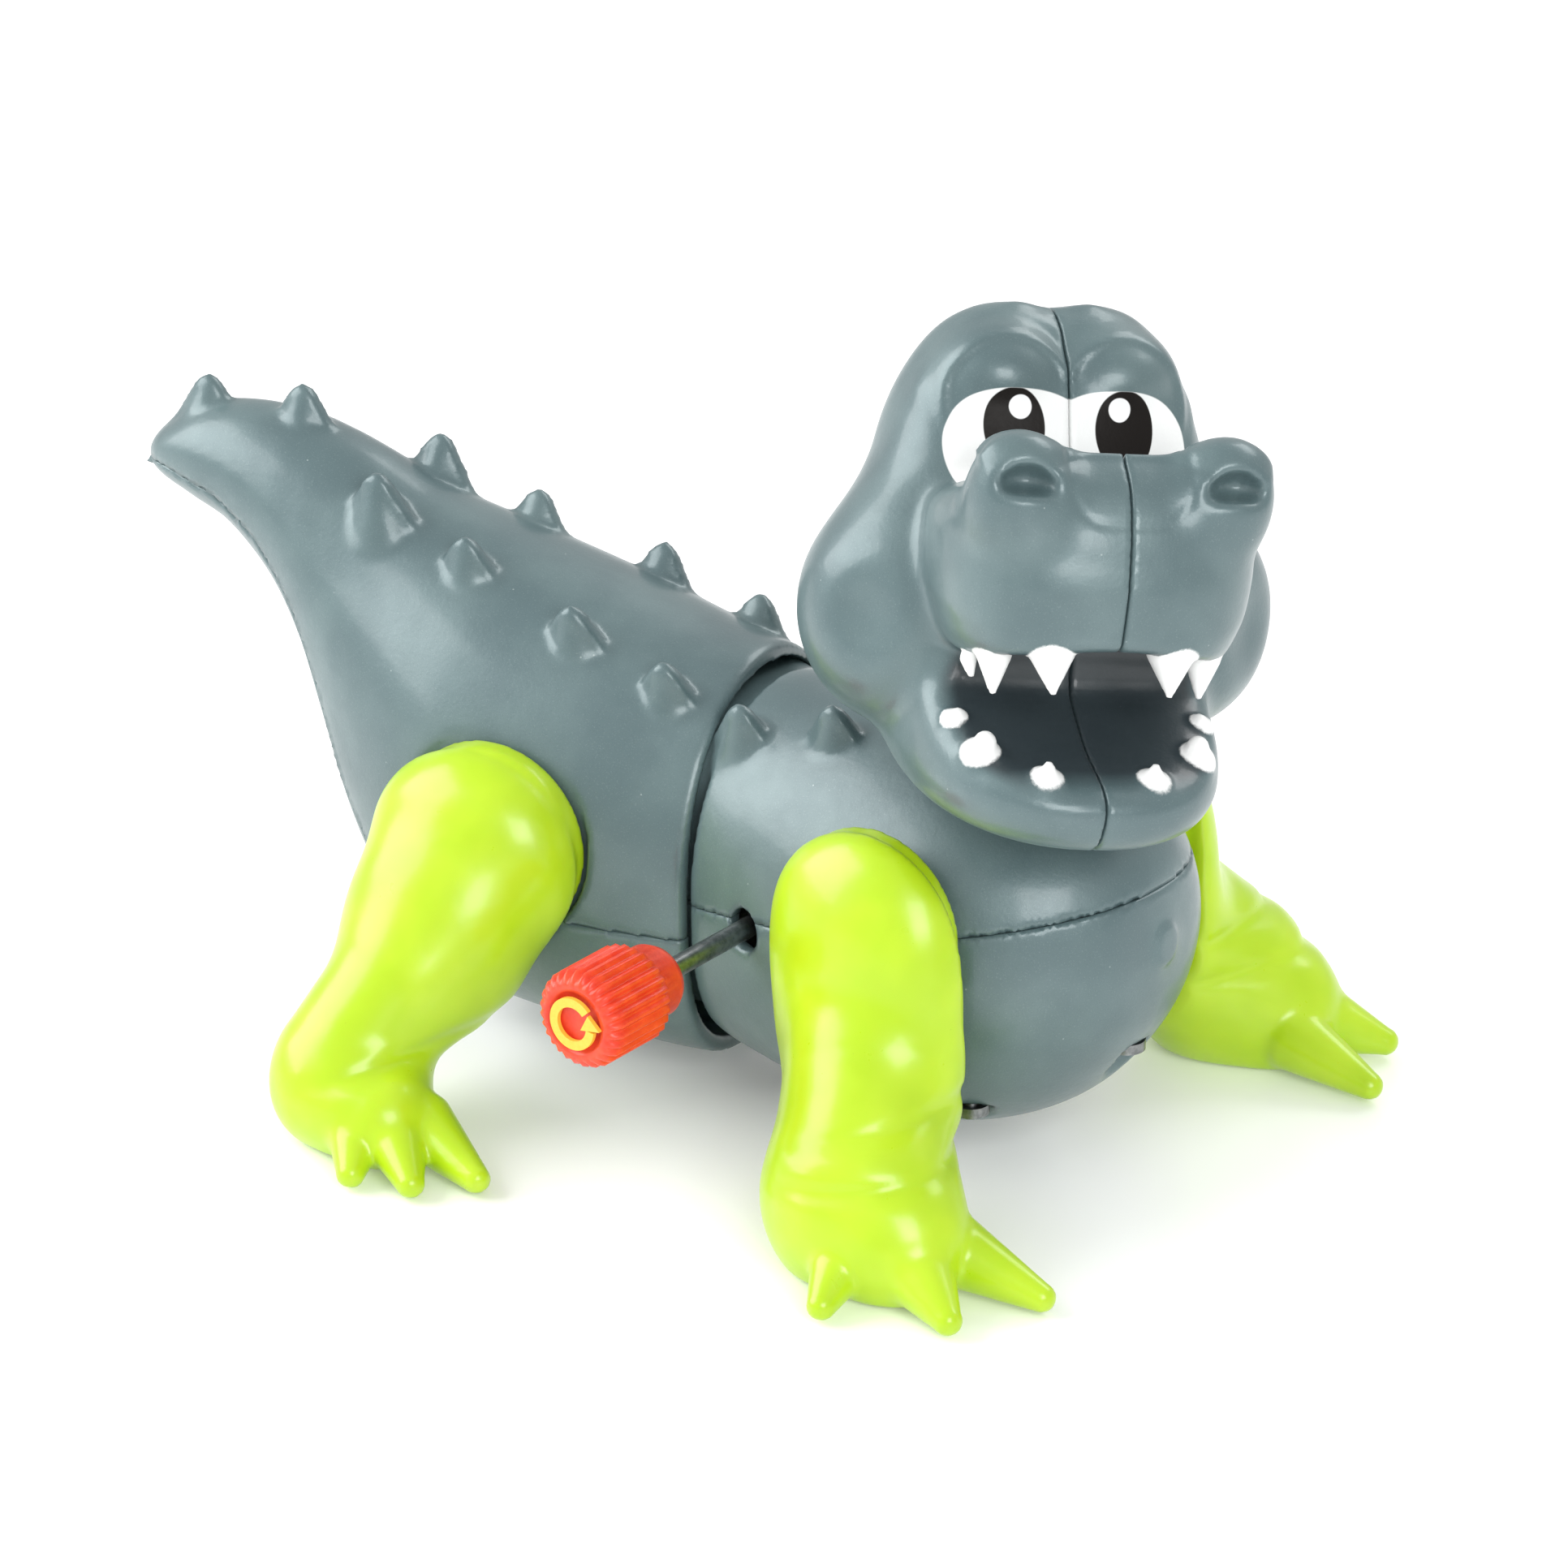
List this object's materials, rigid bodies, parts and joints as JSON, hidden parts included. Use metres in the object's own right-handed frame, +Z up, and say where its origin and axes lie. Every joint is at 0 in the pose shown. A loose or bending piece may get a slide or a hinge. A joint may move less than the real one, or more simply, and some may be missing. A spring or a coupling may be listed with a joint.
{
  "type": "wind-up toy crocodile",
  "caption": "Walking wind-up crocodile: hollow two-part body bending at the waist, turning open-mouthed head, swinging clawed legs, spring motor with ribbed side knob.",
  "frame": {"origin": "on the floor under the middle of the whole toy's box", "axes": "+X towards the chest, along the length; +Y the toy's left; +Z up"},
  "size_m": [0.1141, 0.0842, 0.0751],
  "materials": {
    "grey_shell": "pearly blue-grey moulded plastic, semi-gloss",
    "green_leg": "glossy lime-green moulded plastic",
    "red_knob": "satin red moulded plastic",
    "yellow_mark": "printed yellow",
    "steel": "bright drawn steel",
    "brass_gear": "stamped brass",
    "case_plastic": "off-white moulded plastic"
  },
  "bodies": {
    "front_body": {"front_shell_upper": "grey_shell", "front_shell_lower": "grey_shell", "belly_screws": "steel", "neck_post": "grey_shell", "neck_washer": "steel", "neck_screw": "steel", "motor_case_right": "case_plastic", "motor_case_left": "case_plastic", "motor_rivets": "steel", "mainspring": "steel"},
    "winder": {"winding_shaft": "steel", "winding_knob": "red_knob", "knob_mark": "yellow_mark", "great_wheel": "brass_gear"},
    "centre_wheel": {"centre_arbor": "steel", "centre_gear": "brass_gear"},
    "drive_shaft": {"output_shaft": "steel", "output_pinion": "brass_gear", "crank_right": "case_plastic", "crank_left": "case_plastic"},
    "escape": {"escape_arbor": "steel", "escape_wheel": "brass_gear"},
    "anchor": {"pallet_arbor": "steel", "pallet": "brass_gear"},
    "right_front_leg": {"front_leg_right": "green_leg", "shoulder_washer_right": "steel", "shoulder_screw_right": "steel"},
    "left_front_leg": {"front_leg_left": "green_leg", "shoulder_washer_left": "steel", "shoulder_screw_left": "steel"},
    "rear_body": {"rear_shell_upper": "grey_shell", "rear_shell_lower": "grey_shell", "rear_screws": "steel", "waist_pin": "steel"},
    "right_rear_leg": {"rear_leg_right": "green_leg", "hip_washer_right": "steel", "hip_screw_right": "steel"},
    "left_rear_leg": {"rear_leg_left": "green_leg", "hip_washer_left": "steel", "hip_screw_left": "steel"},
    "head": {"head_shell_right": "grey_shell", "head_shell_left": "grey_shell"}
  },
  "joints": [
    {"name": "winding_turn", "type": "hinge", "parent": "front_body", "child": "winder", "pos_m": [0.01418, 0.00166, 0.0204], "axis": [0, 1, 0], "continuous": true},
    {"name": "centre_wheel_turn", "type": "hinge", "parent": "front_body", "child": "centre_wheel", "pos_m": [0.02327, 0.00166, 0.0218], "axis": [0, 1, 0], "continuous": true},
    {"name": "drive_shaft_turn", "type": "hinge", "parent": "front_body", "child": "drive_shaft", "pos_m": [0.02818, 0.00166, 0.0145], "axis": [0, 1, 0], "continuous": true},
    {"name": "escape_turn", "type": "hinge", "parent": "front_body", "child": "escape", "pos_m": [0.03058, 0.00166, 0.02506], "axis": [0, 1, 0], "continuous": true},
    {"name": "anchor_rock", "type": "hinge", "parent": "front_body", "child": "anchor", "pos_m": [0.03398, 0.00166, 0.02796], "axis": [0, 1, 0], "range_deg": [-5, 5]},
    {"name": "right_front_leg_swing", "type": "hinge", "parent": "front_body", "child": "right_front_leg", "pos_m": [0.02858, -0.01354, 0.0254], "axis": [0, 1, 0], "range_deg": [-10, 10]},
    {"name": "left_front_leg_swing", "type": "hinge", "parent": "front_body", "child": "left_front_leg", "pos_m": [0.02858, 0.01686, 0.0254], "axis": [0, 1, 0], "range_deg": [-10, 10]},
    {"name": "waist_swing", "type": "hinge", "parent": "front_body", "child": "rear_body", "pos_m": [-0.00082, 0.00166, 0.02], "axis": [0, 0, 1], "range_deg": [-18, 0]},
    {"name": "right_rear_leg_swing", "type": "hinge", "parent": "rear_body", "child": "right_rear_leg", "pos_m": [-0.01108, -0.01536, 0.023], "axis": [-0.1564, 0.9877, 0], "range_deg": [-8, 8]},
    {"name": "left_rear_leg_swing", "type": "hinge", "parent": "rear_body", "child": "left_rear_leg", "pos_m": [-0.01584, 0.01467, 0.023], "axis": [-0.1564, 0.9877, 0], "range_deg": [-8, 8]},
    {"name": "head_turn", "type": "hinge", "parent": "front_body", "child": "head", "pos_m": [0.02918, 0.00166, 0.036], "axis": [0.2079, 0, 0.9781], "range_deg": [-6, 84]}
  ],
  "couplings": [
    {"joint": "centre_wheel_turn", "follows": "winding_turn", "ratio": -3.6},
    {"joint": "drive_shaft_turn", "follows": "winding_turn", "ratio": 9.6},
    {"joint": "escape_turn", "follows": "winding_turn", "ratio": 14.4},
    {"joint": "left_front_leg_swing", "follows": "right_front_leg_swing", "ratio": -1}
  ]
}
